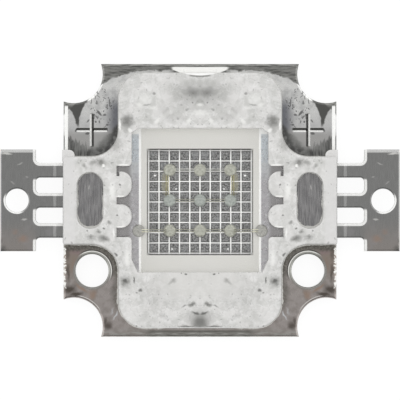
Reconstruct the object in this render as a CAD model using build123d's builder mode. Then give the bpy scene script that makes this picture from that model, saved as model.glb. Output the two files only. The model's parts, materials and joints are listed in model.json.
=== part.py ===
from build123d import *
from math import hypot
import os

# A 10 W chip-on-board power LED, in millimetres. +X runs along the leads and +Z is the side that
# shines. The origin is under the middle of the base plate, which lies on the ground plane.

# Base plate: stamped copper, plated, with a concave notch in each corner
plate_size = 20.0
plate_thickness = 1.5
plate_edge_radius = 0.18
notch_inset = 0.74
notch_wall = 0.963
hole_radius = 1.22
hole_rim_radius = 0.12

# Corner lands, where the housing leaves the plate bare: screw holes below, plus marks above
land_inset = 2.08
land_radius = 1.9
plus_length_x = 2.35
plus_length_y = 2.5
plus_groove_width = 0.27
plus_groove_depth = 0.12

# Coined grid under the dies
grid_cells = 10
grid_groove_width = 0.14
grid_groove_depth = 0.05
pit_margin = 0.1
pit_shift = -0.11

# Leads: stamped strip, moulded into the housing with plastic above and below
lead_thickness = 0.3
lead_lift = 0.4
lead_edge_radius = 0.13
lead_reach = 4.6
tab_width = 2.6
tab_shoulder = 0.98
tab_hole_radius = 0.85
tab_hole_inset = 1.22
bar_width = 1.08
bar_pitch = 2.2
slot_corner_radius = 0.3
pad_border = 0.3
bond_bar_width = 1.0
bond_bar_bury = 0.35
joggle_start = 0.45
joggle_run = 0.22
joggle_drop = 0.07

# Housing: white moulded plastic
housing_height = 1.7
body_margin = 0.63
body_corner_radius = 2.0
arm_overhang = 0.06
arm_wall = 0.52
arm_corner_radius = 0.2
draft_angle = 3
housing_edge_radius = 0.14
rim_radius = 0.07
lug_width = 0.9
lug_length = 0.43
lug_drop = 0.35
lug_radius = 0.4
window_width = 1.92
window_length = 4.11
window_inset = 1.99

# Recess of the housing: the bond bars show along its side walls, and its floor frames the pit
side_wall = 1.04
side_lip = 0.44
end_lip = 1.4
bar_shown = 0.69
pit_corner_radius = 0.15
lower_cut_x = 0.45
lower_cut_y = 0.95
upper_cut_x = 0.5
upper_cut_y = 0.3

# Finger slots through the side walls of the recess, from the top one down
slot_widths = (0.39, 0.50, 0.66)
slot_shifts = (0.11, -0.03, -0.13)
lobe_radius = 0.8
block_radius = 0.3
nick_width = 0.2
nick_length = 0.34
nick_gap = 0.1

# Dies, their adhesive and the drops over them
die_side = 0.62
die_thickness = 0.15
attach_thickness = 0.02
die_inset = 1.63
drop_margin = 0.022
drop_cover = 0.15
drop_shoulder = 0.14

# Bond wires, two to a link
wire_radius = 0.03
wire_spacing = 0.15
wire_loop = 0.3
bond_margin = 0.13
lead_bond_margin = 0.07

# Two places closer than this are the same place
same_place = 0.001

# A corner that is rounded at both ends of a wall leaves a little of it flat
wall_share = 0.49

# Places that follow from the sizes
plate_half = plate_size / 2
plate_top = plate_thickness
notch_centre = plate_half - notch_inset
land_x = plate_half - land_inset
body_half_x = land_x - land_radius
body_half_y = plate_half - body_margin
recess_half_x = body_half_x - side_wall
bar_inner = recess_half_x - bar_shown
pit_half = bar_inner - side_lip
pit_side = 2 * pit_half
grid_span = pit_side - 2 * pit_margin
grid_pitch = grid_span / grid_cells
die_pitch = pit_half - die_inset
recess_half_y = pit_half + end_lip
lead_bottom = plate_top + lead_lift
lead_top = lead_bottom + lead_thickness
floor_top = lead_top - lead_edge_radius
housing_top = plate_top + housing_height
rim_rounding = min(rim_radius, nick_width * wall_share)
fill_top = housing_top - rim_rounding
slot_depth = lobe_radius + nick_gap + nick_width
bond_bar_outer = bar_inner + bond_bar_width
bond_bar_half_y = recess_half_y + bond_bar_bury
window_x = plate_half - window_inset
pad_inner = window_x - window_width / 2 - pad_border
pad_outer = window_x + window_width / 2 + pad_border
tab_outer = plate_half + lead_reach
tab_inner = tab_outer - tab_width
last_bar = len(slot_widths) - 1
bar_rows = [(last_bar / 2 - index) * bar_pitch for index in range(len(slot_widths))]
comb_half_y = bar_rows[0] + bar_width / 2
tab_height = 2 * (comb_half_y + tab_shoulder)
arm_half_y = comb_half_y + arm_wall
arm_end = plate_half + arm_overhang
land_y = arm_half_y + land_radius
hole_to_notch = hypot(notch_centre - land_x, notch_centre - land_y)
notch_radius = hole_to_notch - hole_radius - notch_wall
die_top = plate_top + attach_thickness + die_thickness
drop_radius = die_side / 2 * 2**0.5 + drop_margin
bond_offset = die_side / 2 - bond_margin
lead_bond_x = bar_inner + lead_edge_radius + lead_bond_margin

os.makedirs("parts", exist_ok=True)


def keep(sub_part, label):
    """Names a finished sub-part and writes it."""
    sub_part.part.label = label
    export_step(sub_part.part, f"parts/{label}.step")


def v_profile(width, depth):
    """The section of a V groove, cut down from the sketch's level."""
    Polygon((-width / 2, 0), (0, -depth), (width / 2, 0), align=None)


# Base plate

with BuildPart() as base_plate:
    with BuildSketch() as plate_outline:
        Rectangle(plate_size, plate_size)
        with GridLocations(2 * notch_centre, 2 * notch_centre, 2, 2):
            Circle(notch_radius, mode=Mode.SUBTRACT)
    extrude(amount=plate_thickness)
    fillet(base_plate.faces().sort_by(Axis.Z)[-1].edges(), plate_edge_radius)

    with BuildSketch(Plane.XY.offset(plate_top)) as screw_holes:
        with Locations((-land_x, -land_y), (land_x, -land_y)):
            Circle(hole_radius)
    extrude(amount=-plate_thickness, mode=Mode.SUBTRACT)
    hole_rims = base_plate.edges().filter_by(GeomType.CIRCLE).filter_by(
        lambda rim: abs(rim.radius - hole_radius) < same_place
    )
    fillet(hole_rims.group_by(Axis.Z)[-1], hole_rim_radius)

    # Plus marks: two crossing V grooves on each upper land
    for side in (-1, 1):
        with BuildSketch(Plane.YZ.offset(side * land_x)) as level_stroke:
            with Locations((land_y, plate_top)):
                v_profile(plus_groove_width, plus_groove_depth)
        extrude(amount=plus_length_x / 2, both=True, mode=Mode.SUBTRACT)
        with BuildSketch(Plane.XZ.offset(-land_y)) as upright_stroke:
            with Locations((side * land_x, plate_top)):
                v_profile(plus_groove_width, plus_groove_depth)
        extrude(amount=plus_length_y / 2, both=True, mode=Mode.SUBTRACT)

    # Grid: V grooves both ways across the floor of the pit
    with BuildSketch(Plane.YZ) as level_grooves:
        for line in range(grid_cells + 1):
            with Locations((pit_shift - grid_span / 2 + line * grid_pitch, plate_top)):
                v_profile(grid_groove_width, grid_groove_depth)
    extrude(amount=pit_half, both=True, mode=Mode.SUBTRACT)
    with BuildSketch(Plane.XZ.offset(-pit_shift)) as upright_grooves:
        for line in range(grid_cells + 1):
            with Locations((-grid_span / 2 + line * grid_pitch, plate_top)):
                v_profile(grid_groove_width, grid_groove_depth)
    extrude(amount=pit_half, both=True, mode=Mode.SUBTRACT)
keep(base_plate, "base_plate")


# Leads: the right one is shaped, and the left one is its mirror image

with BuildPart() as lead_right:
    with BuildSketch(Plane.XY) as lead_plan:
        with Locations(((tab_inner + tab_outer) / 2, 0)):
            Rectangle(tab_width, tab_height)
        for row in bar_rows:
            with Locations(((pad_outer + tab_inner) / 2, row)):
                Rectangle(tab_inner - pad_outer, bar_width)
            with Locations(((bond_bar_outer + pad_inner) / 2, row)):
                Rectangle(pad_inner - bond_bar_outer, bar_width)
        with Locations(((pad_inner + pad_outer) / 2, 0)):
            Rectangle(pad_outer - pad_inner, 2 * comb_half_y)
        with Locations(((bar_inner + bond_bar_outer) / 2, 0)):
            Rectangle(bond_bar_width, 2 * bond_bar_half_y)
        slot_corners = lead_plan.vertices().filter_by(
            lambda corner: abs(corner.X - tab_inner) < same_place
            and abs(corner.Y) < comb_half_y + same_place
        )
        fillet(slot_corners, slot_corner_radius)
        with Locations((tab_outer - tab_hole_inset, 0)):
            Circle(tab_hole_radius, mode=Mode.SUBTRACT)
    extrude(amount=housing_top)

    # Side view of the strip: flat inside the housing, with a small joggle outside it
    joggle_inner = arm_end + joggle_start
    joggle_outer = joggle_inner + joggle_run
    with BuildSketch(Plane.XZ) as strip_side:
        Polygon(
            (bar_inner, lead_bottom),
            (joggle_inner, lead_bottom),
            (joggle_outer, lead_bottom - joggle_drop),
            (tab_outer, lead_bottom - joggle_drop),
            (tab_outer, lead_top - joggle_drop),
            (joggle_outer, lead_top - joggle_drop),
            (joggle_inner, lead_top),
            (bar_inner, lead_top),
            align=None,
        )
    extrude(amount=plate_half, both=True, mode=Mode.INTERSECT)
    top_faces = lead_right.faces().filter_by(lambda face: face.normal_at().Z > same_place)
    outline_edges = top_faces.edges().filter_by(
        lambda edge: abs(edge.center().X - joggle_inner) > same_place
        and abs(edge.center().X - joggle_outer) > same_place
    )
    fillet(outline_edges, lead_edge_radius)
keep(lead_right, "lead_right")

with BuildPart() as lead_left:
    mirror(lead_right.part, about=Plane.YZ)
keep(lead_left, "lead_left")


# Recess of the housing in plan, with a comb of slots in each side and its outer corners cut off

slots = [
    (row + shift - width / 2, row + shift + width / 2)
    for row, shift, width in zip(bar_rows, slot_shifts, slot_widths)
]
mouth_corners = [(slots[0][1], block_radius), (slots[-1][0], block_radius)]
for above, below in zip(slots, slots[1:]):
    lobe_rounding = min(lobe_radius, (above[0] - below[1]) * wall_share)
    mouth_corners += [(above[0], lobe_rounding), (below[1], lobe_rounding)]

with BuildSketch(Plane.XY.offset(floor_top)) as recess:
    Rectangle(2 * recess_half_x, 2 * recess_half_y)
    for side in (-1, 1):
        for low, high in slots:
            with Locations((side * (recess_half_x + slot_depth / 2), (low + high) / 2)):
                Rectangle(slot_depth, high - low)
    for corner_y, radius in mouth_corners:
        pair = recess.vertices().filter_by(
            lambda corner: abs(abs(corner.X) - recess_half_x) < same_place
            and abs(corner.Y - corner_y) < same_place
        )
        fillet(pair, radius)
    for side in (-1, 1):
        with Locations(
            (
                side * (recess_half_x + slot_depth - nick_width / 2),
                slots[0][0] - nick_length / 2,
            )
        ):
            Rectangle(nick_width, nick_length)
        edge_x = side * recess_half_x
        Polygon(
            (edge_x, -recess_half_y),
            (edge_x - side * lower_cut_x, -recess_half_y),
            (edge_x, -recess_half_y + lower_cut_y),
            align=None,
            mode=Mode.SUBTRACT,
        )
        Polygon(
            (edge_x, recess_half_y),
            (edge_x - side * upper_cut_x, recess_half_y),
            (edge_x, recess_half_y - upper_cut_y),
            align=None,
            mode=Mode.SUBTRACT,
        )

# Pit, as deep as the grooves in its floor
pit_depth = floor_top - plate_top + grid_groove_depth
with BuildSketch(Plane.XY.offset(floor_top - pit_depth)) as pit:
    with Locations((0, pit_shift)):
        RectangleRounded(pit_side, pit_side, pit_corner_radius)


# Housing

with BuildPart() as housing:
    with BuildSketch(Plane.XY.offset(plate_top)) as housing_plan:
        RectangleRounded(2 * body_half_x, 2 * body_half_y, body_corner_radius)
        RectangleRounded(2 * arm_end, 2 * arm_half_y, arm_corner_radius)
        inner_corners = housing_plan.vertices().filter_by(
            lambda corner: abs(abs(corner.X) - body_half_x) < same_place
            and abs(abs(corner.Y) - arm_half_y) < same_place
        )
        fillet(inner_corners, land_radius)
    extrude(amount=housing_height)
    walls = housing.faces().filter_by(lambda face: abs(face.normal_at().Z) < same_place)
    draft(walls, Plane.XY.offset(plate_top), draft_angle)
    fillet(housing.faces().sort_by(Axis.Z)[-1].edges(), housing_edge_radius)

    # Flash lugs at the upper outer corners of the arms
    for side in (-1, 1):
        with BuildSketch(Plane.XY.offset(plate_top)) as lug_plan:
            lug_middle = arm_end - lug_width / 2
            with Locations((side * lug_middle, arm_half_y)):
                Rectangle(lug_width, 2 * lug_length)
            inner_corners = lug_plan.vertices().filter_by(lambda corner: side * corner.X < lug_middle)
            fillet(inner_corners.sort_by(Axis.Y)[-1], lug_radius)
        extrude(amount=housing_height - lug_drop)

    extrude(recess.sketch, amount=housing_height, mode=Mode.SUBTRACT)
    with BuildSketch(Plane.XY.offset(lead_top)) as oval_windows:
        with Locations((-window_x, 0), (window_x, 0)):
            SlotOverall(window_length, window_width, rotation=90)
    extrude(amount=housing_height, mode=Mode.SUBTRACT)
    top_face = housing.faces().filter_by(Axis.Z).sort_by(Axis.Z)[-1]
    fillet([edge for wire in top_face.inner_wires() for edge in wire.edges()], rim_rounding)
    extrude(pit.sketch, amount=pit_depth, mode=Mode.SUBTRACT)
    add([lead_left.part, lead_right.part], mode=Mode.SUBTRACT)
keep(housing, "housing")


# Dies, each on its layer of adhesive

columns = {"left": -die_pitch, "centre": 0, "right": die_pitch}
rows = {"upper": die_pitch, "middle": 0, "lower": -die_pitch}
spots = {
    f"{row}_{column}": (x, y) for row, y in rows.items() for column, x in columns.items()
}
dies = {}
layers = {}
for spot, (x, y) in spots.items():
    with BuildPart() as layer:
        with BuildSketch(Plane.XY.offset(plate_top - grid_groove_depth)) as layer_plan:
            with Locations((x, y)):
                Rectangle(die_side, die_side)
        extrude(amount=grid_groove_depth + attach_thickness)
        add(base_plate.part, mode=Mode.SUBTRACT)
    keep(layer, f"die_attach_{spot}")
    layers[spot] = layer.part
    with BuildPart() as die:
        with BuildSketch(Plane.XY.offset(plate_top + attach_thickness)) as die_plan:
            with Locations((x, y)):
                Rectangle(die_side, die_side)
        extrude(amount=die_thickness)
    keep(die, f"die_{spot}")
    dies[spot] = die.part


# Bond wires: each link is two wires in shallow loops, with their feet trimmed to what they stand on

lead_bonds = {"lead_left": (-lead_bond_x, rows["lower"]), "lead_right": (lead_bond_x, rows["lower"])}
carriers = {**dies, "lead_left": lead_left.part, "lead_right": lead_right.part}


def wire_foot(spot, other, shift):
    """Where a wire to the other spot leaves this one."""
    if spot in lead_bonds:
        x, y = lead_bonds[spot]
        return Vector(x, y + shift, lead_top - wire_radius)
    x, y = spots[spot]
    other_x, other_y = lead_bonds.get(other) or spots[other]
    level = die_top - wire_radius
    if abs(other_x - x) > abs(other_y - y):
        towards = 1 if other_x > x else -1
        return Vector(x + towards * bond_offset, y + shift, level)
    outwards = 1 if x > 0 else -1
    towards = 1 if other_y > y else -1
    return Vector(x + outwards * bond_offset + shift, y + towards * bond_offset, level)


links = [
    ("lead_left", "lower_left"),
    ("lower_left", "lower_centre"),
    ("lower_centre", "lower_right"),
    ("lower_right", "lead_right"),
    ("middle_left", "middle_centre"),
    ("middle_centre", "middle_right"),
    ("upper_left", "upper_centre"),
    ("upper_centre", "upper_right"),
    ("upper_left", "middle_left"),
    ("upper_right", "middle_right"),
]
wires = {}
for first, second in links:
    with BuildPart() as link:
        for shift in (-wire_spacing / 2, wire_spacing / 2):
            foot = wire_foot(first, second, shift)
            far_foot = wire_foot(second, first, shift)
            middle = (foot + far_foot) / 2
            crown = Vector(middle.X, middle.Y, max(foot.Z, far_foot.Z) + wire_loop)
            with BuildLine() as loop:
                ThreePointArc(foot, crown, far_foot)
            with BuildSketch(Plane(loop.line @ 0, z_dir=loop.line % 0)) as wire_section:
                Circle(wire_radius)
            sweep(path=loop.line)
        add([carriers[first], carriers[second]], mode=Mode.SUBTRACT)
    keep(link, f"wires_{first}_to_{second}")
    wires[first, second] = link.part


# Drops: a round bead over each die, and one over the bonds on each lead

drops = {}
for spot, (x, y) in spots.items():
    with BuildPart() as drop:
        with BuildSketch(Plane.XY.offset(plate_top - grid_groove_depth)) as drop_plan:
            with Locations((x, y)):
                Circle(drop_radius)
        extrude(amount=grid_groove_depth + attach_thickness + die_thickness + drop_cover)
        fillet(drop.edges().sort_by(Axis.Z)[-1], drop_shoulder)
        inside = [part for ends, part in wires.items() if spot in ends]
        add([base_plate.part, layers[spot], dies[spot]] + inside, mode=Mode.SUBTRACT)
    keep(drop, f"drop_{spot}")
    drops[spot] = drop.part
for lead, (x, y) in lead_bonds.items():
    with BuildPart() as drop:
        with BuildSketch(Plane.XY.offset(floor_top)) as drop_plan:
            with Locations((x, y)):
                Circle(drop_radius)
        extrude(amount=lead_top + drop_cover - floor_top)
        fillet(drop.edges().sort_by(Axis.Z)[-1], drop_shoulder)
        inside = [part for ends, part in wires.items() if lead in ends]
        add([carriers[lead], housing.part] + inside, mode=Mode.SUBTRACT)
    keep(drop, f"drop_{lead}")
    drops[lead] = drop.part


# Encapsulant: clear silicone cast into the pit and the recess, around everything in them

with BuildPart() as encapsulant:
    extrude(recess.sketch, amount=fill_top - floor_top)
    extrude(pit.sketch, amount=pit_depth)
    cast_around = [base_plate.part, lead_left.part, lead_right.part, housing.part]
    cast_around += [*dies.values(), *layers.values(), *wires.values(), *drops.values()]
    add(cast_around, mode=Mode.SUBTRACT)
keep(encapsulant, "encapsulant")
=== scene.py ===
import json
import math

import bmesh
import bpy
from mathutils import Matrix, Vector, noise


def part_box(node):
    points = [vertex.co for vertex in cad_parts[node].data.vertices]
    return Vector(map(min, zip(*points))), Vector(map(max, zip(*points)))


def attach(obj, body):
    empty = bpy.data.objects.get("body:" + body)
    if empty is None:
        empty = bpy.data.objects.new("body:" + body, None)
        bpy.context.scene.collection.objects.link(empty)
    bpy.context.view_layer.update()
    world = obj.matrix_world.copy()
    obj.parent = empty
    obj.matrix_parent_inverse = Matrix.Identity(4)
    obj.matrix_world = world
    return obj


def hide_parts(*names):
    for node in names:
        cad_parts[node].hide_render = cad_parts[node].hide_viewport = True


# Looks for the chip-on-board power LED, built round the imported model.
# Meshes are in metres. Places and sizes inside the materials are in millimetres.

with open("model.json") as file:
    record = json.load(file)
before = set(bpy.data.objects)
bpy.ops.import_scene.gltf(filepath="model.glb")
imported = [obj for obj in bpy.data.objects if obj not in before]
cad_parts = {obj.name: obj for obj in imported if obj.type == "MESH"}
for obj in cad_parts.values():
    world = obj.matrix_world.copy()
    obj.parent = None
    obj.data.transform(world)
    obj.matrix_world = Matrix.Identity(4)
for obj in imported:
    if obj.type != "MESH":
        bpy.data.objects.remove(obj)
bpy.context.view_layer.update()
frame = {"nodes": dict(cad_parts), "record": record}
nodes = frame["nodes"]
MM = 0.001
PER_METRE = 1000.0

# Brightness of the ceiling that flat metal mirrors to a camera above it
CEILING = 0.62


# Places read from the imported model, in millimetres

def span(name):
    """Lowest and highest corner of a CAD node."""
    low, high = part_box(name)
    return low * PER_METRE, high * PER_METRE


screw_holes = next(m for m in frame["record"]["mounts"] if m["name"] == "screw_holes")
land_x = screw_holes["dims"]["spacing_x_mm"] / 2
land_y = -screw_holes["pos_m"][1] * PER_METRE
hole_radius = screw_holes["dims"]["hole_r_mm"]
plate_top = span("base_plate")[1].z
housing_top = span("housing")[1].z
arm_end = span("housing")[1].x
fill_top = span("encapsulant")[1].z
recess_half_y = span("encapsulant")[1].y
floor_top = span("drop_lead_right")[0].z
bar_inner = span("lead_right")[0].x
lead_top = span("lead_right")[1].z

# Other places and sizes, in millimetres
land_radius = 1.9
arm_half_y = land_y - land_radius
body_half_x = land_x - land_radius
body_half_y = 9.37
body_corner_radius = 2.0
window_x = 8.01
window_half_x = 0.96
window_half_y = 2.055
notch_centre = 9.26
notch_radius = 2.13
plus_length_x = 2.35
plus_length_y = 2.5
plus_groove_width = 0.27
grid_pitch = 0.75
grid_centre_y = -0.11
grid_half = 5 * grid_pitch
pit_half = 3.85
tab_inner = 12.0
tab_top = 3.72
tab_hole_x = 13.38
tab_hole_radius = 0.85
bar_pitch = 2.2
bar_half = 0.54
slot_corner_radius = 0.3


# Colours

def seen(red, green, blue):
    """A colour as it looks on a screen, 0 to 255, as the linear colour that the shaders take."""
    def linear(level):
        share = level / 255
        return share / 12.92 if share <= 0.04045 else ((share + 0.055) / 1.055) ** 2.4
    return (linear(red), linear(green), linear(blue), 1.0)


def plated(red, green, blue):
    """Metal that looks like this colour where it mirrors the ceiling."""
    return (*(min(level / CEILING, 1.0) for level in seen(red, green, blue)[:3]), 1.0)


# Whites for painted highlights, and for painted light on the grid's grooves and the recess's end walls
HIGHLIGHT_WHITE = seen(248, 248, 246)
PAINTED_LIGHT_WHITE = seen(254, 254, 252)


# Materials

class Nodes:
    """The nodes of a material or of the world. Its methods add nodes and give back their sockets."""

    def __init__(self, tree):
        self.tree = tree

    def node(self, kind, **settings):
        """A new node. A setting with a capital is the value or link of an input, with _ for a space."""
        made = self.tree.nodes.new(kind)
        for key, value in settings.items():
            if key[0].isupper():
                self.plug(made.inputs[key.replace("_", " ")], value)
            else:
                setattr(made, key, value)
        return made

    def plug(self, socket, value):
        if isinstance(value, bpy.types.NodeSocket):
            self.tree.links.new(value, socket)
        elif value is not None:
            socket.default_value = value

    def plug_all(self, made, *values):
        """Set or link the inputs in turn, and give back the first output."""
        for socket, value in zip(made.inputs, values):
            self.plug(socket, value)
        return made.outputs[0]

    def math(self, operation, *values):
        return self.plug_all(self.node("ShaderNodeMath", operation=operation), *values)

    def absolute(self, value):
        return self.math("ABSOLUTE", value)

    def plus(self, first, second):
        return self.math("ADD", first, second)

    def minus(self, first, second):
        return self.math("SUBTRACT", first, second)

    def times(self, product, *others):
        for other in others:
            product = self.math("MULTIPLY", product, other)
        return product

    def scaled(self, value, factor, offset):
        """The value times the factor, plus the offset."""
        return self.math("MULTIPLY_ADD", value, factor, offset)

    def most(self, highest, *others):
        for other in others:
            highest = self.math("MAXIMUM", highest, other)
        return highest

    def least(self, first, second):
        return self.math("MINIMUM", first, second)

    def join(self, x, y, z):
        return self.plug_all(self.node("ShaderNodeCombineXYZ"), x, y, z)

    def split(self, vector):
        return self.node("ShaderNodeSeparateXYZ", Vector=vector).outputs

    def fade(self, value, start, end, low=0.0, high=1.0):
        """The low where the value is at the start, the high where it is at the end, smooth between."""
        made = self.node("ShaderNodeMapRange", interpolation_type="SMOOTHSTEP", Value=value,
                         From_Min=start, From_Max=end, To_Min=low, To_Max=high)
        return made.outputs[0]

    def mix_shaders(self, share, first, second):
        return self.plug_all(self.node("ShaderNodeMixShader"), share, first, second)


class Paint(Nodes):
    """A procedural material being made. Its places are in millimetres."""

    def __init__(self, name):
        self.material = bpy.data.materials.new(name)
        self.material.use_nodes = True
        super().__init__(self.material.node_tree)
        self.shader = self.tree.nodes["Principled BSDF"]
        place = self.node("ShaderNodeTexCoord").outputs["Object"]
        self.x, self.y, self.z = self.split(self.vector("SCALE", place, scale=PER_METRE))
        self.side_x = self.absolute(self.x)
        self.both_sides = self.join(self.side_x, self.y, self.z)

    def vector(self, operation, first, second=None, scale=None):
        made = self.node("ShaderNodeVectorMath", operation=operation)
        self.plug_all(made, first, second)
        if scale is not None:
            self.plug(made.inputs["Scale"], scale)
        return made.outputs["Value" if operation == "LENGTH" else "Vector"]

    def length(self, x, y):
        return self.vector("LENGTH", self.join(x, y, 0))

    def away_from(self, value, middle):
        """How far the value is from the middle."""
        return self.absolute(self.minus(value, middle))

    def fade_x(self, start, end):
        """A fade with the distance from the mirror plane."""
        return self.fade(self.side_x, start, end)

    def fade_y(self, start, end):
        return self.fade(self.y, start, end)

    def fade_z(self, start, end):
        return self.fade(self.z, start, end)

    def near(self, value, middle, far, close):
        """1 where the value is this close to the middle, 0 where it is this far from it."""
        return self.fade(self.away_from(value, middle), far, close)

    def shaken(self, value, uneven, amount):
        """The value moved up and down by noise about 0.5."""
        return self.scaled(self.minus(uneven, 0.5), amount, value)

    def noise(self, scale, detail=3.0, stretch=(1, 1, 1), rough=0.55, at=None):
        """Noise about 0.5; the scale counts its lumps in a millimetre."""
        spread = self.vector("MULTIPLY", at or self.both_sides, stretch)
        made = self.node("ShaderNodeTexNoise", Vector=spread, Scale=scale, Detail=detail, Roughness=rough)
        return made.outputs[0]

    def wander(self, scale, amount):
        """The mirrored place, moved about by noise, for marks with ragged rims."""
        made = self.node("ShaderNodeTexNoise", Vector=self.both_sides, Scale=scale)
        centred = self.vector("SUBTRACT", made.outputs["Color"], (0.5, 0.5, 0.5))
        return self.vector("ADD", self.both_sides, self.vector("SCALE", centred, scale=amount))

    def specks(self, scale, size, at):
        """1 in scattered small dots in plan, 0 between them."""
        made = self.node("ShaderNodeTexVoronoi", voronoi_dimensions="2D", Vector=at, Scale=scale)
        return self.fade(made.outputs["Distance"], size, size * 0.5)

    def mark(self, centre_x, centre_y, radius_x, radius_y, degrees=0, full=0.0, at=None):
        """1 in the middle of a turned oval in plan, 0 past its rim; full is the share that stays 1."""
        away = self.vector("SUBTRACT", at or self.both_sides, (centre_x, centre_y, 0))
        if degrees:
            turn = math.radians(-degrees)
            made = self.node("ShaderNodeVectorRotate", rotation_type="Z_AXIS", Vector=away, Angle=turn)
            away = made.outputs[0]
        away = self.vector("MULTIPLY", away, (1 / radius_x, 1 / radius_y, 0))
        return self.fade(self.vector("LENGTH", away), 1.0, full)

    def marks(self, places, full=0.0, at=None):
        """The strongest of several marks, given by their centre, radii, degrees and strength."""
        return self.most(*(
            self.times(self.mark(*place, full=full, at=at), strength) for *place, strength in places
        ))

    def ridges(self, scale, width, at):
        """1 along thin wandering lines, 0 between them."""
        return self.near(self.noise(scale, detail=2, at=at), 0.5, width, 0.0)

    def mix(self, share, first, second):
        """The second colour laid over the first by its share."""
        made = self.node("ShaderNodeMix", data_type="RGBA", Factor=share)
        colour_a, colour_b = [socket for socket in made.inputs if socket.type == "RGBA"]
        self.plug(colour_a, first)
        self.plug(colour_b, second)
        return next(socket for socket in made.outputs if socket.type == "RGBA")

    def blend(self, value, start, end, first, second):
        """The first colour where the value is at the start, the second where it is at the end."""
        return self.mix(self.fade(value, start, end), first, second)

    def mix_value(self, share, first, second):
        """The second value laid over the first by its share."""
        return self.plug_all(self.node("ShaderNodeMix"), share, None, first, second)

    def bump(self, height, depth):
        """Relief: the height runs from 0 to 1 and stands for the depth in millimetres."""
        made = self.node("ShaderNodeBump", Distance=depth * MM, Height=height)
        self.plug(self.shader.inputs["Normal"], made.outputs["Normal"])

    def colour(self, value):
        self.plug(self.shader.inputs["Base Color"], value)

    def metallic(self, value):
        self.plug(self.shader.inputs["Metallic"], value)

    def roughness(self, value):
        self.plug(self.shader.inputs["Roughness"], value)

    def put_on(self, *names):
        for name in names:
            slots = nodes[name].data.materials
            slots.clear()
            slots.append(self.material)


# Objects

def made_object(name, shape, material):
    """A new object in the scene from a body being edited, which is freed."""
    mesh = bpy.data.meshes.new(name)
    shape.to_mesh(mesh)
    shape.free()
    mesh.materials.append(material)
    made = bpy.data.objects.new(name, mesh)
    bpy.context.scene.collection.objects.link(made)
    return made


# Marks on the base plate: centre, radii, degrees and strength

UPPER_SCRATCHES = [
    (7.38, 6.4, 0.34, 0.11, 49, 1.0),
    (6.99, 6.25, 0.18, 0.1, -10, 0.9),
    (7.58, 6.12, 0.2, 0.08, 50, 0.8),
    (8.2, 5.82, 0.2, 0.07, 135, 0.8),
    (6.79, 5.53, 0.13, 0.1, 0, 0.9),
    (6.95, 5.4, 0.16, 0.05, 135, 0.7),
    (9.05, 5.1, 0.14, 0.14, 0, 0.9),
    (8.23, 4.91, 0.24, 0.13, -15, 0.9),
    (7.95, 7.26, 0.06, 0.24, 0, 0.8),
    (6.63, 7.24, 0.06, 0.24, 0, 0.9),
    (7.0, 7.5, 0.2, 0.06, 30, 0.7),
    (7.45, 7.62, 0.2, 0.06, 40, 0.7),
]
LOWER_STAINS = [
    (9.1, -3.7, 0.75, 0.5, 0, 0.8),
    (8.96, -3.85, 0.2, 0.2, 0, 1.0),
]
LOWER_DARK = [
    (9.55, -6.5, 0.75, 0.5, 0, 1.0),
    (9.1, -6.85, 0.75, 0.3, -10, 1.0),
    (9.65, -5.3, 0.2, 0.9, 0, 0.8),
    (9.7, -3.9, 0.25, 0.8, 0, 0.6),
    (6.75, -9.2, 0.5, 0.4, 0, 0.9),
    (6.9, -8.9, 0.2, 0.5, 0, 0.8),
    (8.13, -6.46, 0.1, 0.06, 0, 1.0),
]
LOWER_RUST = [
    (8.6, -6.5, 1.0, 0.16, 36, 0.8),
    (7.9, -6.9, 0.4, 0.6, 10, 0.7),
    (9.3, -4.7, 0.2, 0.8, 0, 0.3),
]
LOWER_SCUFFS = [
    (6.25, -8.45, 0.12, 0.5, 32, 0.9),
    (6.5, -8.1, 0.1, 0.4, 30, 0.5),
]
GRID_SPARKS = [
    (3.3, 1.82, 0.12, 0.1, 0, 1.0),
    (1.76, 0.84, 0.08, 0.08, 0, 0.9),
    (2.05, -3.56, 0.08, 0.1, 0, 0.9),
    (0.0, -0.6, 0.06, 0.14, 0, 0.9),
]


# Base plate: plated metal, pitted and stained on the corner lands, mottled in the pit, with painted
# highlights and shade

def from_notch(paint):
    """How far a place is from the middle of its corner's notch."""
    along = paint.minus(paint.absolute(paint.y), notch_centre)
    return paint.length(paint.minus(paint.side_x, notch_centre), along)


def upper_shade_band(paint, depth, streaks, grain):
    """Where painted shade lies in the lower curve, darker towards the plastic and the outer edge, with a
    ragged upright rim on its outer part, and its colour.
    """
    rim_x, rim_y = 8.06, 3.95
    slant = paint.shaken(paint.plus(paint.side_x, paint.y), grain, 0.6)
    from_side = paint.fade(slant, 11.85, 11.3)
    outward = paint.most(paint.minus(paint.side_x, rim_x), 0.0)
    rim_level = paint.scaled(outward, 0.25, rim_y)
    rim_level = paint.scaled(paint.fade_x(9.15, 9.5), 0.35, rim_level)
    teeth = paint.times(paint.minus(streaks, 0.5), paint.fade_x(7.5, 8.1))
    rim_level = paint.scaled(teeth, 1.7, rim_level)
    from_below = paint.fade(paint.minus(paint.y, rim_level), 0.12, -0.12)
    darkness = paint.most(paint.fade(depth, 1.15, 1.7), paint.times(paint.fade_x(8.3, 9.2), 0.8))
    shade_colour = paint.mix(darkness, plated(120, 120, 118), plated(74, 74, 73))
    mottled = paint.mix_value(paint.fade_x(7.6, 8.4), grain, streaks)
    shade_colour = paint.mix(paint.times(paint.fade(mottled, 0.44, 0.64), 0.45), shade_colour, plated(142, 142, 140))
    return paint.most(from_side, from_below), shade_colour


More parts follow.
